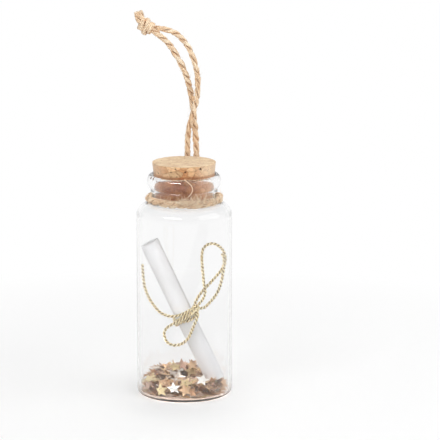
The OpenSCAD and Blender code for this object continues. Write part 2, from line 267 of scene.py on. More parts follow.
def cork_material():
    s = material("cork")
    place = s.position()
    bent = s.node("VectorMath", operation="ADD")
    s.put(bent.inputs[0], place)
    swirl = s.node("VectorMath", {"Scale": 2.2 * MM}, operation="SCALE")
    s.put(swirl.inputs[0], s.noise(place, 260, 3.0, output="Color"))
    s.put(bent.inputs[1], swirl.outputs["Vector"])
    bent = bent.outputs["Vector"]
    flat = s.scaled(bent, (1, 1, 1.5))
    granule = s.node("SeparateColor", {"Color": s.cells(flat, 360, output="Color")})
    side = s.ramp(
        granule.outputs["Red"],
        (0.0, srgb(184, 110, 66)), (0.2, srgb(228, 172, 120)), (0.45, srgb(250, 208, 160)),
        (0.7, srgb(214, 154, 104)), (0.9, srgb(255, 220, 176)), (1.0, srgb(176, 128, 76)),
    )
    border = s.cells(flat, 360, "DISTANCE_TO_EDGE")
    side = s.mix(s.levels(border, 0.0, 0.1, 0.6, 0), side, srgb(158, 96, 58))
    grain = s.noise(s.scaled(bent, (1, 1, 2.5)), 520, 6.0, 0.7)
    side = s.mix(s.levels(grain, 0.48, 0.7, 0, 0.6), side, srgb(172, 108, 66))
    parts = s.node("SeparateXYZ", {"Vector": place}).outputs
    # Painted light: the side is made paler on the right and at the far left, where lamps light the cork
    # from both sides.
    lit_right_side = s.levels(parts["X"], 3 * MM, 10 * MM)
    side = s.mix(s.math("MULTIPLY", lit_right_side, 0.75), side, srgb(255, 228, 194))
    side = s.mix(s.levels(parts["X"], -5 * MM, -11 * MM, 0, 0.75), side, srgb(252, 216, 178))
    # Painted shade: the cork is darkened in a band just above the glass's lip, where it meets the glass.
    seam_shade = s.levels(parts["Z"], BOTTLE_H + 1.1 * MM, BOTTLE_H + 0.3 * MM, 0, 0.6)
    side = s.mix(seam_shade, side, srgb(214, 168, 138), "MULTIPLY")
    # Painted shade: the part inside the neck is darkened, less so towards the right where the light
    # falls.
    neck_shade = s.levels(parts["Z"], BOTTLE_H - 0.4 * MM, BOTTLE_H - 1.6 * MM, 0, 0.85)
    neck_shade = s.math("MULTIPLY", neck_shade, s.levels(parts["X"], 1 * MM, 7 * MM, 1, 0.1))
    side = s.mix(neck_shade, side, srgb(172, 152, 134), "MULTIPLY")
    streaks = s.noise(s.scaled(bent, (0.25, 1, 1)), 700, 5.0, 0.65)
    face = s.mix(s.levels(streaks, 0.38, 0.66), srgb(252, 226, 186), srgb(212, 168, 120))
    base = s.mix(s.attribute("face", "Fac"), side, face)
    specks = s.cells(place, 1100)
    base = s.mix(s.levels(specks, 0.1, 0.26, 0.75, 0), base, srgb(140, 88, 52))
    pit = s.attribute("pit", "Fac")
    base = s.mix(s.levels(pit, 0.05, 0.7, 0, 1), base, srgb(84, 48, 28))
    relief = s.math("SUBTRACT", grain, s.levels(border, 0.0, 0.1, 0.5, 0))
    return s.surface(s.principled({
        "Base Color": base, "Roughness": s.levels(grain, 0.2, 0.8, 0.72, 0.92),
        "Specular IOR Level": 0.3, "Sheen Weight": 0.3, "Sheen Roughness": 0.5,
        "Normal": s.bump(relief, 0.12 * MM, 0.8),
    }))


def twine_material():
    """Jute: long fibres that run along the cord, with painted shade where the plies meet, and paler
    where loose.
    """
    s = material("twine")
    lay = s.attribute("lay")
    fibre = s.noise(s.scaled(lay, (300, 3000, 3000)), 1.0, 4.0, 0.6)
    patch = s.noise(lay, 190, 2.0)
    tone = s.math("ADD", s.math("MULTIPLY", fibre, 0.7), s.math("MULTIPLY", patch, 0.45))
    base = s.ramp(
        tone, (0.38, srgb(186, 136, 98)), (0.54, srgb(242, 208, 170)), (0.68, srgb(255, 236, 208))
    )
    # Painted shade: the grooves where the two plies meet are darkened, patchily along the twine.
    deep = s.attribute("deep", "Fac")
    shade = s.math("MULTIPLY", s.levels(deep, 0.45, 1.0), s.levels(patch, 0.38, 0.62, 0.15, 0.6))
    base = s.mix(shade, base, srgb(156, 106, 68))
    base = s.mix(s.levels(deep, -1, 0, 0.7, 0), base, srgb(255, 238, 212))
    return s.surface(s.principled({
        "Base Color": base, "Roughness": s.levels(fibre, 0.3, 0.7, 0.7, 0.95),
        "Specular IOR Level": 0.25, "Sheen Weight": 0.3, "Sheen Roughness": 0.5,
        "Normal": s.bump(fibre, 0.1 * MM, 0.7),
    }))


def paper_material():
    s = material("paper")
    place = s.position()
    pulp = s.noise(place, 900, 4.0, 0.6)
    cloud = s.noise(place, 60, 2.0)
    base = s.mix(s.levels(cloud, 0.3, 0.7), srgb(236, 236, 237), srgb(243, 243, 245))
    base = s.mix(s.levels(pulp, 0.3, 0.75, 0, 0.12), base, srgb(226, 225, 222))
    return s.surface(s.principled({
        "Base Color": base, "Roughness": s.levels(pulp, 0.2, 0.8, 0.55, 0.72),
        "Specular IOR Level": 0.3, "Normal": s.bump(pulp, 0.02 * MM, 0.5),
    }))


def metal_cord_material():
    s = material("metallic_cord")
    lay = s.attribute("lay")
    thread = s.noise(s.scaled(lay, (900, 5200, 5200)), 1.0, 3.0, 0.5)
    base = s.ramp(
        thread, (0.32, srgb(214, 184, 126)), (0.46, srgb(248, 230, 180)), (0.6, srgb(255, 248, 222))
    )
    # Painted shade: the grooves where the two plies meet are darkened, patchily along the cord.
    deep = s.attribute("deep", "Fac")
    shade = s.levels(s.noise(lay, 900, 2.0), 0.35, 0.6, 0.4, 1)
    shade = s.math("MULTIPLY", shade, s.levels(deep, 0.25, 0.62))
    base = s.mix(shade, base, srgb(124, 90, 46))
    return s.surface(s.principled({
        "Base Color": base, "Metallic": 0.6, "Roughness": s.levels(thread, 0.3, 0.7, 0.42, 0.26),
        "Normal": s.bump(thread, 0.06 * MM, 0.8),
    }))


def foil_material(name, pale, deep):
    s = material(name)
    place = s.position()
    cloud = s.noise(place, 260, 2.0)
    tone = s.math("ADD", s.attribute("tone", "Fac"), s.levels(cloud, 0.35, 0.65, -0.15, 0.15))
    base = s.mix(s.levels(tone, 0, 1.5), deep, pale)
    crease = s.noise(place, 900, 3.0, 0.6)
    return s.surface(s.principled({
        "Base Color": base, "Metallic": 0.6, "Roughness": s.levels(crease, 0.3, 0.7, 0.25, 0.45),
        "Normal": s.bump(crease, 0.05 * MM, 0.35),
    }))


def spaced(line, step):
    """The line again, with points about step apart."""
    along = np.concatenate([[0], np.cumsum(np.linalg.norm(np.diff(line, axis=0), axis=1))])
    at = np.linspace(0, along[-1], max(2, round(along[-1] / step) + 1))
    return np.stack([np.interp(at, along, line[:, k]) for k in range(3)], axis=1)


def smooth_line(points, step):
    """Points about step apart on a smooth curve through the given ones."""
    p = np.array(points, float)
    p = np.vstack([2 * p[0] - p[1], p, 2 * p[-1] - p[-2]])
    t = np.linspace(0, 1, 30, endpoint=False)[:, None]
    curve = [
        0.5 * (2 * b + (c - a) * t + (2 * a - 5 * b + 4 * c - d) * t**2
               + (3 * b - a - 3 * c + d) * t**3)
        for a, b, c, d in zip(p, p[1:], p[2:], p[3:])
    ]
    return spaced(np.vstack(curve + [p[-2:-1]]), step)


def carried(line):
    """Directions at each point of a line: along it, and two across that turn as little as can be."""
    along = np.gradient(line, axis=0)
    along /= np.linalg.norm(along, axis=1)[:, None]
    start = np.cross(along[0], (0, 1, 0) if abs(along[0][1]) < 0.9 else (1, 0, 0))
    side = [start / np.linalg.norm(start)]
    for direction in along[1:]:
        flat = side[-1] - (side[-1] @ direction) * direction
        side.append(flat / np.linalg.norm(flat))
    side = np.array(side)
    return along, side, np.cross(along, side)


def lengths(line):
    return np.concatenate([[0], np.cumsum(np.linalg.norm(np.diff(line, axis=0), axis=1))])


class Mesh:
    """Corners, faces and corner values gathered for one piece."""

    def __init__(self):
        self.corners = []
        self.faces = []
        self.values = {}
        self.count = 0

    def add(self, corners, faces, **values):
        self.corners.append(np.asarray(corners, float))
        self.faces += [tuple(i + self.count for i in face) for face in faces]
        for name, value in values.items():
            self.values.setdefault(name, []).append(np.asarray(value, float))
        self.count += len(corners)

    def piece(self, name, body, material, replaces=(), slot=None, smooth=True):
        data = bpy.data.meshes.new(name)
        data.from_pydata(np.vstack(self.corners).tolist(), [], self.faces)
        for key, parts in self.values.items():
            value = np.concatenate(parts)
            kind = "FLOAT" if value.ndim == 1 else "FLOAT_VECTOR"
            field = "value" if value.ndim == 1 else "vector"
            attribute = data.attributes.new(key, kind, "POINT")
            attribute.data.foreach_set(field, value.astype(np.float32).ravel())
        data.validate()
        turned = bmesh.new()
        turned.from_mesh(data)
        bmesh.ops.recalc_face_normals(turned, faces=turned.faces)
        turned.to_mesh(data)
        turned.free()
        data.polygons.foreach_set("use_smooth", [smooth] * len(data.polygons))
        data.materials.append(material)
        made = bpy.data.objects.new(name, data)
        bpy.context.scene.collection.objects.link(made)
        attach(made, body)
        if replaces:
            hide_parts(*replaces)
        return made


def ring_faces(rings, sides, closed=False):
    """Faces between rings of corners, with caps where the tube isn't closed on itself."""
    faces = []
    for i in range(rings if closed else rings - 1):
        a, b = i * sides, (i + 1) % rings * sides
        faces += [(a + k, a + (k + 1) % sides, b + (k + 1) % sides, b + k) for k in range(sides)]
    if not closed:
        faces += [tuple(range(sides))[::-1], tuple(range((rings - 1) * sides, rings * sides))]
    return faces


def add_twisted(mesh, line, width, seed, pitch, sides, across, ridges, ridge, uneven, ends=(1, 1)):
    """Two plies laid round each other along a line. ends gives how thick each end is."""
    shift_by = random.Random(seed)
    along, side, up = carried(line)
    way = lengths(line)
    taper = np.interp(way / way[-1], [0, 0.04, 0.96, 1], [ends[0], 1, 1, ends[1]])
    drift = np.array([noise.noise((s / (1.2 * pitch), seed, 7)) for s in way])
    for ply in (0, 1):
        turn = seed + math.pi * ply - 2 * math.pi * way / pitch + 6 * uneven * drift
        lift = np.cos(turn)[:, None] * side + np.sin(turn)[:, None] * up
        over = -np.sin(turn)[:, None] * side + np.cos(turn)[:, None] * up
        shift = shift_by.random() * 10
        wobble = np.array([noise.noise((s / (1.1 * width) + shift, ply, seed)) for s in way])
        size = taper * (1 + uneven * wobble)
        corners, lay, deep = [], [], []
        for k in range(sides):
            a = 2 * math.pi * k / sides
            spin = a + 1.15 * turn
            high = 1 + ridge * np.sin(ridges * spin + 2 * wobble)
            x = (0.25 * width * (1 + math.cos(a) * high) * size)[:, None]
            y = (across * width * math.sin(a) * high * size)[:, None]
            corners.append(line + x * lift + y * over)
            r = across * width
            lay.append(np.stack([
                way + shift * width, r * np.cos(spin), r * np.sin(spin) + ply * width
            ], axis=1))
            # deep is 0 on a ply's outer side and 1 where the plies meet; the materials paint shade with
            # it.
            deep.append(np.full(len(line), 0.5 - 0.5 * math.cos(a)))
        n = len(line)
        order = np.arange(n * sides).reshape(sides, n).T.ravel()
        mesh.add(
            np.vstack(corners)[order], ring_faces(n, sides),
            lay=np.vstack(lay)[order], deep=np.concatenate(deep)[order],
        )


def add_fibre(mesh, line, width, sides=4, deep=-1.0):
    """One loose fibre, thinner at its end. deep is -1 for a pale one and 1 for a dark one."""
    along, side, up = carried(line)
    n = len(line)
    size = np.interp(np.arange(n) / (n - 1), [0, 0.7, 1], [1, 0.8, 0.3])[:, None] * width / 2
    rings = np.stack([
        line + size * (math.cos(a) * side + math.sin(a) * up)
        for a in (2 * math.pi * k / sides for k in range(sides))
    ], axis=1).reshape(-1, 3)
    lay = np.repeat(line, sides, axis=0)
    mesh.add(rings, ring_faces(n, sides), lay=lay, deep=np.full(len(rings), deep))


def add_fuzz(mesh, line, width, count, reach, seed):
    """Loose fibres that leave the twine and curl away from it."""
    r = random.Random(seed)
    along, side, up = carried(line)
    for _ in range(count):
        i = r.randrange(2, len(line) - 2)
        a = r.uniform(0, 2 * math.pi)
        out = math.cos(a) * side[i] + math.sin(a) * up[i]
        run = along[i] * r.choice((-1, 1))
        curl = np.cross(run, out) * r.uniform(-0.8, 0.8)
        far = reach * r.uniform(0.2, 1.0) ** 2
        start = line[i] + out * 0.38 * width
        t = np.linspace(0, 1, 6)[:, None]
        path = start + far * (run * 1.3 * t + out * r.uniform(0.3, 0.9) * t**1.4 + curl * t**2)
        add_fibre(mesh, path, r.uniform(0.05, 0.1) * MM, 3)


def tucked(t, steepness):
    """0 at both ends of a winding and 1 between them."""
    return np.sin(np.pi / 2 * np.clip(t * steepness, 0, 1)) * np.sin(
        np.pi / 2 * np.clip((1 - t) * steepness, 0, 1)
    )


def add_ring_frays(mesh):
    """Fibres that have come loose from the ring in front and lie up over the lip's lower edge."""
    r = random.Random(31)
    out = RING_R + TWINE_D / 2
    for _ in range(270):
        a = math.radians(-90 + r.triangular(-46, 82, 18))
        around = np.array((-math.sin(a), math.cos(a), 0)) * r.choice((-1, 1)) * r.uniform(0.35, 1)
        away = np.array((math.cos(a), math.sin(a), 0))
        start = away * (out - r.uniform(0.1, 0.6) * MM)
        start[2] = RING_Z + r.uniform(-1.1, 0.9) * MM
        rise = r.uniform(0.5, 4.6) * MM * r.random() ** 0.6
        t = np.linspace(0, 1, 6)[:, None]
        path = start + t * around * r.uniform(1, 3.4) * MM + t * np.array((0, 0, rise))
        path += away * (0.5 * MM * np.sin(np.pi * t) + 0.1 * MM)
        add_fibre(mesh, path, r.uniform(0.12, 0.22) * MM, 4, r.choice((-1.0, -1.0, -1.0, 0.9)))


def in_mm(points, origin=(0, 0, 0)):
    return np.array(points, float) * MM + np.array(origin, float)


def along_tie(points):
    """Points seen along the scroll from the bow's knot, in millimetres, as places in the frame."""
    lean, knot = math.radians(SCROLL_LEAN), math.radians(BOW_KNOT_A)
    p = in_mm(points) + np.array((
        BOW_KNOT_R * math.cos(knot), BOW_KNOT_R * math.sin(knot), BOW_KNOT_RISE + TIE_PLACE
    ))
    return turned_to_scroll(p, lean)


def turned_to_scroll(p, lean):
    x = p[:, 0] * math.cos(lean) - p[:, 2] * math.sin(lean)
    z = p[:, 0] * math.sin(lean) + p[:, 2] * math.cos(lean)
    return np.stack([x, p[:, 1], z], axis=1) + np.array(SCROLL_FOOT)


JUTE = twine_material()
METAL_CORD = metal_cord_material()


def make_strand(name, route, seed, width):
    """One strand of the hanging loop, from inside the knot behind the neck into the upper one."""
    points = in_mm(route, NECK_KNOT_AT)
    root = np.array(NECK_KNOT_AT) + (points[0] - np.array(NECK_KNOT_AT)) * (0.4, 0.4, 0.3)
    tip = in_mm([TOP_KNOT_FROM_NECK], NECK_KNOT_AT)[0] * 0.5 + points[-1] * 0.5
    line = smooth_line(np.vstack([root, points, tip]), 0.22 * MM)
    mesh = Mesh()
    add_twisted(mesh, line, width, seed, **JUTE_LAY)
    add_fuzz(mesh, line, width, 170, 2.4 * MM, seed)
    strand = mesh.piece(name + "_twine", "hanging_loop", JUTE, [name], "twine")
    return strand


def make_bow_cord(name, route, far_end, seed):
    points = along_tie(route)
    knot = along_tie([(0, 0, 0)])
    ends = [knot, points] + [knot] * (far_end == "object")
    line = smooth_line(np.vstack(ends), 0.11 * MM)
    mesh = Mesh()
    add_twisted(mesh, line, CORD_W, seed, **METAL_LAY)
    piece = mesh.piece(name + "_cord", "contents", METAL_CORD, [name], "metallic_cord")
    return piece


make_camera()
make_strand("loop_strand_left", LEFT_STRAND, 3, 2.2 * MM)
make_strand("loop_strand_right", RIGHT_STRAND, 5, 2.35 * MM)
make_bow_cord("tie_upper_loop", TIE_UPPER, "object", 1)
make_bow_cord("tie_lower_loop", TIE_LOWER, "object", 2)
make_bow_cord("tie_left_tail", TIE_LEFT, "bare", 4)
make_bow_cord("tie_right_tail", TIE_RIGHT, "bare", 6)


def arc(centre, radius, start, end, count):
    """Points of an outline, (distance from the axis, height), on an arc given in degrees."""
    return [
        (centre[0] + radius * math.cos(math.radians(a)), centre[1] + radius * math.sin(math.radians(a)))
        for a in np.linspace(start, end, count)
    ]


def rounded(centre, reach, height, start, end, count):
    """Points of an outline on an arc of an ellipse, in degrees."""
    return [
        (centre[0] + reach * math.cos(math.radians(a)), centre[1] + height * math.sin(math.radians(a)))
        for a in np.linspace(start, end, count)
    ]


def bottle_outline():
    """The glass in section, up its outside, over the mouth and down its inside."""
    fillet, soft = 0.9 * MM, 0.6 * MM
    ceiling_z = SHOULDER_Z + SHOULDER_R - WALL
    edge = (BODY_R - FOOT_EDGE_R, FOOT_EDGE_R)
    lip_mid = (BORE_R + LIP_IN, BOTTLE_H - LIP_HALF)
    lip_out = NECK_R + LIP_OUT - lip_mid[0]
    wall_steps = np.linspace(2 * FOOT_EDGE_R, SHOULDER_Z - 1.5 * MM, 14)
    return (
        [(0, 0), (6 * MM, 0), (12 * MM, 0)]
        + arc(edge, FOOT_EDGE_R, -90, 0, 13)
        + [(BODY_R, z) for z in wall_steps]
        + arc((BODY_R - SHOULDER_R, SHOULDER_Z), SHOULDER_R, 0, 90, 17)
        + arc((NECK_R + fillet, NECK_Z + fillet), fillet, 270, 180, 7)
        + arc((NECK_R - 0.4 * MM, LIP_Z + COLLAR_R), COLLAR_R, -62, 50, 9)
        + rounded(lip_mid, lip_out, LIP_HALF, -74, 90, 25)
        + rounded(lip_mid, LIP_IN, LIP_HALF, 98, 180, 13)
        + [(BORE_R, BOTTLE_H - 5 * MM), (BORE_R, ceiling_z + 2.5 * MM)]
        + arc((BORE_R + soft, ceiling_z + soft), soft, 180, 270, 5)
        + arc((INNER_R - SHOULDER_R, SHOULDER_Z - WALL), SHOULDER_R, 90, 0, 15)
        + [(INNER_R, z) for z in wall_steps[::-1]]
        + arc(edge, FOOT_EDGE_R - WALL, 0, -90, 11)
        + [(10 * MM, WALL), (0, WALL)]
    )


def spun(outline, segments, shift=None):
    """Corners and faces of an outline turned about Z. Its two ends lie on the axis."""
    angles = np.linspace(0, 2 * math.pi, segments, endpoint=False)
    corners = [(0, 0, outline[0][1])]
    for r, z in outline[1:-1]:
        corners += [(r * math.cos(a), r * math.sin(a), z) for a in angles]
    corners.append((0, 0, outline[-1][1]))
    rings = len(outline) - 2
    faces = [(0, 1 + (k + 1) % segments, 1 + k) for k in range(segments)]
    for i in range(rings - 1):
        a, b = 1 + i * segments, 1 + (i + 1) * segments
        faces += [
            (a + k, a + (k + 1) % segments, b + (k + 1) % segments, b + k) for k in range(segments)
        ]
    last, top = 1 + (rings - 1) * segments, len(corners) - 1
    faces += [(last + k, last + (k + 1) % segments, top) for k in range(segments)]
    corners = np.array(corners)
    return (corners if shift is None else shift(corners)), faces


def make_bottle():
    mesh = Mesh()
    mesh.add(*spun(bottle_outline(), 192))
    return mesh.piece("glass_vial", "bottle", glass_material(), ["bottle"], "glass")


def cork_outline(step):
    """The stopper in section: a taper with worn edges, from its foot's middle to its top's."""
    foot_r, top_r, height = 10.91 * MM, 12.35 * MM, STOPPER_HIGH.z - STOPPER_LOW.z
    worn = 0.25 * MM
    low, high = STOPPER_LOW.z, STOPPER_HIGH.z
    slope = (top_r - foot_r) / height
    side = [
        (foot_r + slope * (z - low), z)
        for z in np.linspace(low + worn, high - worn, round((height - 2 * worn) / step))
    ]
    foot = [(r, low) for r in np.linspace(0, foot_r - worn, round(foot_r / step))]
    top = [(r, high) for r in np.linspace(top_r - worn, 0, round(top_r / step))]
    low_edge = [(foot_r - 0.3 * worn, low + 0.3 * worn)]
    high_edge = [(top_r - 0.3 * worn, high - 0.3 * worn)]
    return foot + low_edge + side + high_edge + top


# Pits that show in front, each an angle from the front, a height under the top and a radius
CORK_PITS = [
    (32, 1, 0.5), (3, 1.9, 0.42), (-15, 0.9, 0.28), (25, 4.8, 0.42), (-56, 3.4, 0.4),
    (-13, 3.9, 0.36), (41, 4.6, 0.22), (-24, 2.2, 0.25), (-66, 0.4, 0.35),
]


def cork_pits():
    """(place, radius, depth) of each pit on the stopper."""
    r = random.Random(11)
    top, low = STOPPER_HIGH.z, STOPPER_LOW.z
    found = []
    for angle, under, radius in CORK_PITS:
        a = math.radians(angle - 90)
        found.append(((12.2 * math.cos(a) * MM, 12.2 * math.sin(a) * MM, top - under * MM), radius * MM))
    for _ in range(70):
        a, z = r.uniform(-0.2, math.pi + 0.2), r.uniform(low, top - 0.8 * MM)
        share = (z - low) / (top - low)
        out = (10.91 + 1.44 * share) * MM
        found.append(((out * math.cos(a), out * math.sin(a), z), r.uniform(0.12, 0.42) * MM))
    for face_z in (top, low):
        for _ in range(14):
            a, out = r.uniform(0, math.pi), 11.5 * MM * math.sqrt(r.random())
            place = (out * math.cos(a), out * math.sin(a), face_z)
            found.append((place, r.uniform(0.12, 0.3) * MM))
    return found


def make_stopper():
    corners, faces = spun(cork_outline(0.24 * MM), 320)
    middle = np.array((0, 0, (STOPPER_LOW.z + STOPPER_HIGH.z) / 2))
    flat = corners - middle
    inward = -flat / np.linalg.norm(flat, axis=1)[:, None]
    on_side = np.abs(flat[:, 2]) < (STOPPER_HIGH.z - STOPPER_LOW.z) / 2 - 0.15 * MM
    inward[on_side, 2] = 0
    inward[~on_side, :2] = 0
    inward /= np.linalg.norm(inward, axis=1)[:, None]
    depth = np.zeros(len(corners))
    pit = np.zeros(len(corners))
    for i, c in enumerate(corners):
        p = Vector(c) * 420
        near, next_near = noise.voronoi(p + noise.noise_vector(p * 1.3) * 0.5)[0][:2]
        depth[i] = 0.08 * MM * max(0, 1 - (next_near - near) / 0.16)
        depth[i] += 0.05 * MM * (0.5 + 0.5 * noise.fractal(p * 2.2, 0.8, 2.1, 3))
    for place, radius in cork_pits():
        off = corners - np.array(place)
        ragged = np.linalg.norm(off * (1, 1, 1.25), axis=1)
        for i in np.flatnonzero(ragged < 1.8 * radius):
            rough = ragged[i] * (1 + 0.35 * noise.noise(Vector(corners[i]) * 1800))
            pit[i] = max(pit[i], min(1, max(0, 1.35 - rough / radius)))
    depth += 0.5 * MM * pit**1.4
    mesh = Mesh()
    mesh.add(corners + inward * depth[:, None], faces, pit=pit, face=np.where(on_side, 0.0, 1.0))
    return mesh.piece("cork_stopper", "stopper", cork_material(), ["stopper"], "cork")


def make_neck_twine():
    """The twine round the neck, and the knot behind it."""
    half_gap = 6
    angles = np.radians(np.arange(NECK_KNOT_A + half_gap, NECK_KNOT_A + 360 - half_gap, 3.0))
    points = [
        (
            (RING_R + 0.1 * MM * math.sin(5 * a + 1)) * math.cos(a),
            (RING_R + 0.1 * MM * math.sin(5 * a + 1)) * math.sin(a),
            RING_Z - 0.1 * MM + 0.18 * MM * math.sin(2 * a + 0.6) + 0.12 * MM * math.sin(7 * a),
        )
        for a in angles
    ]
    line = smooth_line(points, 0.22 * MM)
    mesh = Mesh()
    add_twisted(mesh, line, TWINE_D, 7, **JUTE_LAY)
    add_fuzz(mesh, line, TWINE_D, 300, 2.4 * MM, 8)
    add_ring_frays(mesh)
    mesh.piece("neck_ring_twine", "bottle", JUTE, ["neck_twine"], "twine")
    knot = Mesh()
    centre = np.array(NECK_KNOT_AT)
    for k in (0, 1):
        t = np.linspace(0, 1, 60)
        a = 2 * math.pi * (1.15 * t + 0.5 * k)
        wrap = 1.17 * MM * tucked(t, 5)
        x = (t - 0.5) * 2.7 * MM
        turns = spaced(
            centre + np.stack([x, wrap * np.cos(a), wrap * np.sin(a)], axis=1), 0.2 * MM
        )
        add_twisted(knot, turns, NECK_KNOT_D, 20 + k, **JUTE_LAY)
        add_fuzz(knot, turns, NECK_KNOT_D, 30, 2 * MM, 9 + k)
    knot.piece("neck_knot_twine", "bottle", JUTE, ["neck_knot"], "twine")


def make_stray_fibre():
    """A long loose fibre that lies over the lip in front, and the ends it splits into."""
    mesh = Mesh()
    front = -(NECK_R + LIP_OUT) / MM - 0.3
    main = [
        (0.2, front + 1.6, 87.1), (1.1, front + 0.9, 86.6), (2.05, front + 0.5, 85.9),
        (3, front + 0.2, 84.9), (3.39, front, 83.8), (3.19, front, 82.6), (2.43, front, 81.4),
        (0.89, front - 0.2, 79.9), (-0.2, front - 0.4, 79.2),
    ]
    add_fibre(mesh, smooth_line(in_mm(main), 0.3 * MM), 0.3 * MM, 6)
    ends = [
        [(0.9, front - 0.3, 79.9), (-0.6, front - 0.5, 79.5), (-2.2, front - 0.9, 78.4)],
        [(0.2, front - 0.4, 79.3), (1, front - 0.8, 78.2), (1.9, front - 1.2, 76.9)],
        [(-0.6, front - 0.4, 80.1), (0.6, front - 0.7, 78.9), (2.3, front - 1, 77.8)],
        [(2, front - 0.3, 80.1), (0.6, front - 0.7, 79), (-0.9, front - 1.1, 77.2)],
        [(2.6, front - 0.4, 79.8), (1.6, front - 0.8, 78.6), (1.4, front - 1.2, 77)],
    ]
    for end in ends:
        add_fibre(mesh, smooth_line(in_mm(end), 0.3 * MM), 0.24 * MM, 5)
    mesh.piece("stray_fibre", "bottle", JUTE, [], "twine")


def make_top_knot():
    """Both strands wound round themselves, and their two cut tails."""
    centre = in_mm([TOP_KNOT_FROM_NECK], NECK_KNOT_AT)[0]
    lean = math.radians(TOP_KNOT_LEAN - 14)
    axis = np.array((math.sin(lean), 0, math.cos(lean)))
    side = np.array((math.cos(lean), 0, -math.sin(lean)))
    front = np.array((0, -1, 0))
    knot = Mesh()
    core = smooth_line([centre - 3.3 * MM * axis, centre, centre + 2.7 * MM * axis], 0.2 * MM)
    add_twisted(knot, core, 5 * MM, 35, ends=(0.5, 0.5), **JUTE_LAY)
    t = np.linspace(0, 1, 90)
    a = 2 * math.pi * (1.4 * t + 0.1)
    wrap = 1.9 * MM * tucked(t, 5)
    turns = spaced(
        centre + ((t - 0.55) * 3 * MM)[:, None] * axis
        + (wrap * np.cos(a))[:, None] * side + (wrap * np.sin(a))[:, None] * front, 0.2 * MM
    )
    add_twisted(knot, turns, 3 * MM, 30, **JUTE_LAY)
    add_fuzz(knot, turns, 3 * MM, 70, 1.2 * MM, 33)
    knot.piece("top_knot_twine", "hanging_loop", JUTE, ["top_knot"], "twine")
    tails = Mesh()
    lean = math.radians(-20)
    up = np.array((math.sin(lean), 0, math.cos(lean)))
    across = np.array((math.cos(lean), 0, -math.sin(lean)))
    for k, sign in enumerate((-1, 1)):
        root = centre + across * (sign * 0.4 - 0.9) * MM + up * 1 * MM
        middle = centre + across * (sign * 0.7 - 0.9) * MM + up * 3.6 * MM
        tip = centre + across * (sign * 0.75 - 0.8) * MM + up * (6.1 - 0.1 * k) * MM
        line = smooth_line([root, middle, tip], 0.2 * MM)
        add_twisted(tails, line, 2.2 * MM, 40 + k, ends=(1, 0.7), **JUTE_LAY)
        add_frayed_end(tails, tip, up, 0.95 * MM, 45, 50 + k)
        add_fuzz(tails, line, 2.2 * MM, 40, 1.2 * MM, 60 + k)
    tails.piece("knot_tails_twine", "hanging_loop", JUTE, ["knot_tails"], "twine")


def add_frayed_end(mesh, tip, up, radius, count, seed):
    """A rounded tuft of cut fibres at the end of a tail."""
    r = random.Random(seed)
    side = np.array((up[2], 0, -up[0]))
    front = np.array((0, -1, 0))
    for _ in range(count):
        a, share = r.uniform(0, 2 * math.pi), math.sqrt(r.random())
        foot = radius * share * (math.cos(a) * side + math.sin(a) * front)
        t = np.linspace(0, 1, 5)[:, None]
        far = (0.55 - 0.45 * share**2) * MM
        path = tip - up * 0.7 * MM + foot + t * (up * (far + 0.7 * MM) + foot * 0.15 * t)
        add_fibre(mesh, path, r.uniform(0.14, 0.24) * MM, 4)


make_bottle()
make_stopper()
make_neck_twine()
make_stray_fibre()
make_top_knot()


def make_scroll():
    """The sheet, rolled up with its free edge standing a little off."""
    turns = np.linspace(0, SHEET_TURNS, 150)
    free = 0.22 * MM * np.exp(-turns * 14)
    mid_r = SCROLL_D / 2 - PAPER_T / 2 - SHEET_STEP * turns + free
    a = np.radians(SHEET_END_A - 360 * turns)
    across = 26
    corners = []
    for side in (1, -1):
        for step in range(across):
            along = SCROLL_LEN * step / (across - 1)
            bow = 0.03 * MM * math.sin(3 * math.pi * step / (across - 1))
            r = mid_r + side * PAPER_T / 2 + bow * np.exp(-turns * 3)
            corners.append(np.stack([r * np.cos(a), r * np.sin(a), np.full(len(a), along)], axis=1))
    n = len(a)
    faces = []
    for side in (0, 1):
        for i in range(across - 1):
            low, high = (side * across + i) * n, (side * across + i + 1) * n
            faces += [(low + k, low + k + 1, high + k + 1, high + k) for k in range(n - 1)]
    inner = across * n
    for k in range(n - 1):
        faces.append((k, k + 1, inner + k + 1, inner + k))
        last = (across - 1) * n
        faces.append((last + k, last + k + 1, inner + last + k + 1, inner + last + k))
    for i in range(across - 1):
        for k in (0, n - 1):
            low, high = i * n + k, (i + 1) * n + k
            faces.append((low, high, inner + high, inner + low))
    mesh = Mesh()
    mesh.add(turned_to_scroll(np.vstack(corners), math.radians(SCROLL_LEAN)), faces)
    sheet = mesh.piece("paper_sheet", "contents", paper_material(), ["message_scroll"], "paper")
    angle = math.radians(40)
    smooth_by_angle(sheet, angle)
    return sheet


def smooth_by_angle(piece, angle):
    """Keeps edges sharper than an angle crisp in the shading."""
    mesh = bmesh.new()
    mesh.from_mesh(piece.data)
    for edge in mesh.edges:
        if len(edge.link_faces) == 2 and edge.calc_face_angle() > angle:
            edge.smooth = False
    mesh.to_mesh(piece.data)
    mesh.free()


def make_wraps():
    """Turns of the metallic cord round the scroll, close together and a little uneven."""
    turns, pitch = 3, 0.95 * MM
    r = SCROLL_D / 2 + 0.1 * MM + CORD_D / 2
    lay = dict(METAL_LAY, uneven=0.3)
    mesh = Mesh()
    for k in range(turns):
        a = np.linspace(-0.1, 2 * math.pi + 0.1, 70)
        z = TIE_PLACE + 0.6 * MM + pitch * (k + a / (2 * math.pi) - turns / 2)
        z += 0.34 * MM * np.sin(3 * a + 2.1 * k)
        out = r + 0.16 * MM * np.sin(4 * a + 1.7 * k)
        a = a + math.radians(BOW_KNOT_A)
        line = np.stack([out * np.cos(a), out * np.sin(a), z], axis=1)
        line = turned_to_scroll(line, math.radians(SCROLL_LEAN))
        add_twisted(mesh, spaced(line, 0.11 * MM), CORD_W, 60 + 1.3 * k, **lay)
    mesh.piece("tie_wraps_cord", "contents", METAL_CORD, ["tie_wraps"], "metallic_cord")


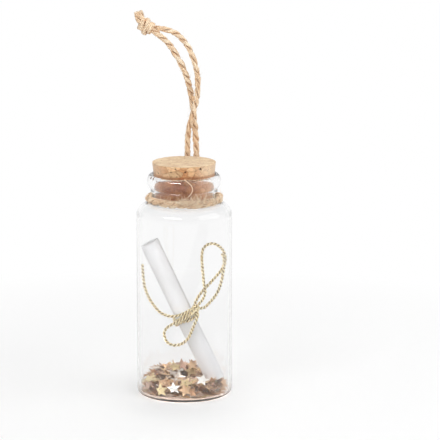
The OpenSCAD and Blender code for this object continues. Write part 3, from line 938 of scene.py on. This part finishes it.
def make_bow_knot():
    """The cord wound tight round the roots of the loops and tails."""
    mesh = Mesh()
    t = np.linspace(0, 1, 90)
    a = 2 * math.pi * 2.2 * t
    lean = math.radians(50)
    reach = (t - 0.5) * 2.2
    wrap = 0.95 + 0.1 * np.sin(np.pi * t)
    x, y = wrap * np.cos(a), wrap * np.sin(a)
    turned = np.stack([
        x * math.cos(lean) + reach * math.sin(lean), y, -x * math.sin(lean) + reach * math.cos(lean)
    ], axis=1)
    add_twisted(mesh, spaced(along_tie(turned), 0.11 * MM), CORD_W, 61, **METAL_LAY)
    mesh.piece("tie_knot_cord", "contents", METAL_CORD, ["tie_knot"], "metallic_cord")


make_scroll()
make_wraps()
make_bow_knot()

STAR_R = 2.75 * MM
STAR_WAIST = 0.47
FOIL_T = 0.07 * MM


def star_sheet(steps=3):
    """A flat star cut into small faces: its corners and faces, as one layer."""
    rim = []
    for k in range(10):
        a, b = math.radians(36 * k), math.radians(36 * (k + 1))
        ra, rb = (1, STAR_WAIST) if k % 2 == 0 else (STAR_WAIST, 1)
        p = np.array((ra * math.sin(a), ra * math.cos(a)))
        q = np.array((rb * math.sin(b), rb * math.cos(b)))
        rim += [p + (q - p) * i / steps for i in range(steps)]
    rim = np.array(rim)
    corners = [np.zeros((1, 2))]
    faces = []
    rings = 4
    n = len(rim)
    for ring in range(1, rings + 1):
        corners.append(rim * ring / rings)
    for k in range(n):
        faces.append((0, 1 + k, 1 + (k + 1) % n))
        for ring in range(1, rings):
            a, b = 1 + (ring - 1) * n, 1 + ring * n
            faces.append((a + k, b + k, b + (k + 1) % n, a + (k + 1) % n))
    return np.vstack(corners), faces, n, rings


STAR = star_sheet()


def bent_star(r, size, bend):
    """One foil star as a thin closed shell, bent and creased, facing +Z about its middle."""
    flat, faces, n, rings = STAR
    p = flat * size
    a = r.uniform(0, math.pi)
    across = p @ np.array((math.cos(a), math.sin(a)))
    other = p @ np.array((-math.sin(a), math.cos(a)))
    b = a + r.uniform(0.6, 1.4)
    crease = np.abs(p @ np.array((math.cos(b), math.sin(b))))
    curve = bend * 260
    z = curve * across**2 / 2 + r.uniform(-0.18, 0.18) * crease + r.uniform(-40, 40) * across * other
    top = np.column_stack([p, z + FOIL_T / 2])
    low = np.column_stack([p, z - FOIL_T / 2])
    count = len(flat)
    rim = 1 + (rings - 1) * n
    walls = [
        (rim + k, rim + (k + 1) % n, count + rim + (k + 1) % n, count + rim + k) for k in range(n)
    ]
    under = [tuple(count + i for i in face[::-1]) for face in faces]
    return np.vstack([top, low]), faces + under + walls


def facing(normal, spin):
    """Three directions of a star whose face looks along normal."""
    normal = np.array(normal, float)
    normal /= np.linalg.norm(normal)
    ref = np.array((0, 0, 1.0)) if abs(normal[2]) < 0.95 else np.array((1.0, 0, 0))
    u = np.cross(ref, normal)
    u /= np.linalg.norm(u)
    v = np.cross(normal, u)
    return np.stack([math.cos(spin) * u + math.sin(spin) * v, math.cos(spin) * v - math.sin(spin) * u,
                     normal])


def heap_top(x, y):
    """Height of the heap: it rises to the back and dips in front and at the sides."""
    rise = 7.5 * MM + 0.08 * y - 0.03 * x - 8 * x * x
    lumps = 0.6 * MM * noise.noise(Vector((x * 150, y * 150, 3)))
    return WALL + rise + lumps


def from_scroll(p):
    """Distance of a place from the scroll's axis, and how far up the scroll it lies."""
    lean = math.radians(SCROLL_LEAN)
    axis = np.array((-math.sin(lean), 0, math.cos(lean)))
    off = np.array(p) - np.array(SCROLL_FOOT)
    way = off @ axis
    return float(np.linalg.norm(off - way * axis)), float(way)


# Foil colours, each from a pale to a deep end. The bronze foil is partly painted shade: it stands in for
# stars that look darker from shade and from mirroring each other deep in the heap.
FOILS = {
    "gold": (srgb(246, 232, 188), srgb(206, 178, 130)),
    "champagne": (srgb(255, 254, 250), srgb(214, 188, 162)),
    "amber": (srgb(244, 212, 170), srgb(206, 164, 128)),
    "bronze": (srgb(228, 196, 174), srgb(182, 146, 126)),
}

# Stars that show plainly in front: place in millimetres, the way each faces, its turn and colour
PLAIN_STARS = [
    ((-3.95, -15.7, 5.5), (0.03, -0.72, 0.7), 0.1, "champagne", 1.6),
    ((6.9, -12.6, 8.1), (0.02, -0.72, 0.7), -0.25, "champagne", 1.6),
    ((-8.8, -14.1, 4.3), (-0.05, -0.97, 0.24), 0.1, "gold", 0.7),
    ((-13.4, -9.6, 7.8), (-0.3, -0.4, 0.85), 0.9, "gold", 0.8),
    ((0.6, -14.6, 7.4), (0.1, -0.6, 0.8), 0.75, "gold", 0.5),
    ((0.4, -15.9, 4.8), (0.05, -0.97, 0.2), 0.3, "amber", 0.6),
    ((-3.6, -1, 10.4), (0.1, -0.5, 0.85), 0.1, "gold", 0.4),
    ((-1.1, 1, 10.6), (0.1, -0.8, 0.5), 0, "bronze", 0.2),
    ((2.8, 1, 10.6), (0.1, -0.5, 0.8), 0, "amber", 0.8),
]


def hides_plain_star(x, y, z):
    """Whether a star here would stand before one that shows plainly."""
    for (px, py, pz), *_ in PLAIN_STARS:
        if math.hypot(x - px * MM, z - pz * MM) < 4 * MM and y < py * MM + 1.5 * MM:
            return True
    return False


def heap_places(r):
    """Places and facings of the loose stars, from the floor of the bottle to the heap's top."""
    found = []
    z = WALL + 0.2 * MM
    while z < WALL + 11 * MM:
        low = z < WALL + 1.6 * MM
        for _ in range(84 if low else 54):
            reach = INNER_R - (0.5 if low else 1.4) * MM
            a, out = r.uniform(0, 2 * math.pi), reach * math.sqrt(r.random())
            x, y = out * math.cos(a), out * math.sin(a)
            wall = 0 if low else max(0.0, (out - (INNER_R - 4 * MM)) / (4 * MM))
            tilt = r.uniform(0.0, 0.4 if low else 1.1) + 0.5 * wall
            if z + 1.5 * MM * math.sin(tilt) > heap_top(x, y) or hides_plain_star(x, y, z):
                continue
            gap, way = from_scroll((x, y, z))
            if gap < SCROLL_D / 2 + 1.6 * MM and way > -1.2 * MM:
                continue
            turn = a + r.uniform(-0.6, 0.6) if r.random() < 0.5 * wall else r.uniform(0, 2 * math.pi)
            normal = (math.sin(tilt) * math.cos(turn), math.sin(tilt) * math.sin(turn), math.cos(tilt))
            found.append(((x, y, z), normal))
        z += 0.7 * MM
    return found


def inside_bottle(corners):
    """Corners pushed in where they would pass the glass."""
    out = np.linalg.norm(corners[:, :2], axis=1)
    edge_r = FOOT_EDGE_R - WALL
    lift = np.clip(FOOT_EDGE_R - corners[:, 2], 0, edge_r)
    limit = BODY_R - FOOT_EDGE_R + np.sqrt(edge_r**2 - lift**2) - 0.15 * MM
    corners[:, :2] *= np.minimum(1, limit / np.maximum(out, 1e-9))[:, None]
    corners[:, 2] = np.maximum(corners[:, 2], WALL + 0.08 * MM)
    return corners


def make_stars():
    r = random.Random(21)
    meshes = {name: Mesh() for name in FOILS}
    names = ["gold", "champagne", "amber", "bronze", "amber", "bronze", "amber"]
    for i, (place, normal) in enumerate(heap_places(r)):
        corners, faces = bent_star(r, STAR_R * r.uniform(0.9, 1.06), r.uniform(-1, 1))
        corners = corners @ facing(normal, r.uniform(0, 2 * math.pi)) + np.array(place)
        tone = np.full(len(corners), r.random())
        meshes[names[i % len(names)]].add(inside_bottle(corners), faces, tone=tone)
    for place, normal, spin, name, tone in PLAIN_STARS:
        corners, faces = bent_star(r, STAR_R, 0.12)
        corners = corners @ facing(normal, spin) + np.array(place) * MM
        meshes[name].add(inside_bottle(corners), faces, tone=np.full(len(corners), tone))
    for name, mesh in meshes.items():
        piece = mesh.piece(
            f"stars_{name}_foil", "contents", foil_material("foil_" + name, *FOILS[name]),
            ["stars_" + name], "foil_" + name,
        )
        smooth_by_angle(piece, math.radians(50))


make_stars()


def make_floor():
    """A pale floor that shows as white to the camera, in gloss and through glass, and keeps shadows,
    with painted shadow and star reflections near the bottle.
    """
    s = material("floor")
    path = s.node("LightPath").outputs
    seen = s.math("LESS_THAN", path["Diffuse Depth"], 0.5)
    away = s.node("VectorMath", operation="LENGTH")
    s.put(away.inputs[0], s.position())
    away = away.outputs["Value"]
    far = s.levels(away, 0.045, 0.22)
    # Painted shadow: the floor is a little darker close round the bottle, as a contact shadow.
    near = s.mix(s.levels(away, 18 * MM, 48 * MM), (0.9, 0.9, 0.9, 1), (0.95, 0.95, 0.95, 1))
    # Painted shadow and reflection: seen through the glass, the floor just round the base is warm
    # grey-brown, like a contact shadow with the stars mirrored in it.
    rim = s.math("MULTIPLY", path["Is Transmission Ray"], s.levels(away, 30 * MM, 22 * MM))
    near = s.mix(rim, near, (0.66, 0.58, 0.52, 1))
    pale = s.mix(seen, (0.8, 0.8, 0.8, 1), s.mix(far, near, (0, 0, 0, 1)))
    glow = s.mix(far, (0.06, 0.06, 0.06, 1), (1, 1, 1, 1))
    # Painted reflection: under the bottle the floor glows in the stars' colour, as if it mirrored them.
    glow = s.mix(s.levels(away, 17.2 * MM, 18.3 * MM), srgb(180, 154, 138), glow)
    shade = s.node("BsdfDiffuse", {"Color": pale}).outputs["BSDF"]
    light = s.node("Emission", {"Color": glow, "Strength": seen})
    both = s.node("AddShader")
    s.tree.links.new(shade, both.inputs[0])
    s.tree.links.new(light.outputs["Emission"], both.inputs[1])
    mesh = bpy.data.meshes.new("floor")
    reach, z = 6, -0.02 * MM
    mesh.from_pydata(
        [(-reach, -reach, z), (reach, -reach, z), (reach, reach, z), (-reach, reach, z)],
        [], [(0, 1, 2, 3)],
    )
    mesh.materials.append(s.surface(both.outputs["Shader"]))
    floor = bpy.data.objects.new("floor", mesh)
    bpy.context.scene.collection.objects.link(floor)


def make_world():
    """White where it is seen, dimmer in front where it is mirrored, and soft on matt things."""
    world = bpy.data.worlds.new("studio")
    bpy.context.scene.world = world
    s = Nodes(world)
    path = s.node("LightPath")
    direction = s.node("SeparateXYZ", {"Vector": s.node("TexCoord").outputs["Generated"]})
    mirrored = s.levels(direction.outputs["Y"], -0.9, 0.3, 0.55, 1)
    mirrored = s.math("MULTIPLY", mirrored, s.levels(direction.outputs["Z"], 0.25, 0.6, 1, 0.45))
    seen = s.node("MixRGB", {
        "Fac": path.outputs["Is Glossy Ray"], "Color1": (1, 1, 1, 1), "Color2": mirrored,
    }).outputs["Color"]
    on_matt = s.math("GREATER_THAN", path.outputs["Diffuse Depth"], 0.5)
    light = s.mix(on_matt, seen, (0.34, 0.34, 0.34, 1))
    s.surface(s.node("Background", {"Color": light}).outputs["Background"], "OutputWorld")


def soft_light(name, azimuth, elevation, distance, width, height, level, matt=True, gloss=True):
    """A softbox that looks at the bottle. Azimuth 0 is in front of it, 90 on its right.

    A white card at the bottle that faces the lamp is as bright as level, where 1 is white.
    Where matt or gloss is False, such surfaces aren't lit by it.
    """
    data = bpy.data.lights.new(name, "AREA")
    data.shape = "RECTANGLE"
    data.size, data.size_y = width, height
    data.energy = level * (math.pi * distance) ** 2
    lamp = bpy.data.objects.new(name, data)
    a, e = math.radians(azimuth), math.radians(elevation)
    way = Vector((math.sin(a) * math.cos(e), -math.cos(a) * math.cos(e), math.sin(e)))
    lamp.location = Vector((0, 0, BOTTLE_H / 2)) + way * distance
    lamp.rotation_euler = way.to_track_quat("Z", "Y").to_euler()
    lamp.visible_camera = False
    lamp.visible_diffuse = matt
    lamp.visible_glossy = gloss
    lamp.visible_transmission = False
    bpy.context.scene.collection.objects.link(lamp)


make_floor()
make_world()
soft_light("key", -38, 54, 1, 0.35, 0.35, 0.22, gloss=False)
soft_light("right", 70, 30, 0.8, 0.8, 0.6, 0.4)
soft_light("top", 180, 72, 0.9, 0.35, 0.35, 0.25, gloss=False)
soft_light("front", -15, 12, 0.9, 0.5, 0.5, 0.2, gloss=False)
soft_light("strip_card", -30, 33, 0.8, 0.55, 0.1, 0.9, matt=False)
soft_light("top_card", 180, 82, 0.9, 1.2, 0.9, 0.2, matt=False)
bpy.context.scene.view_settings.view_transform = "Standard"
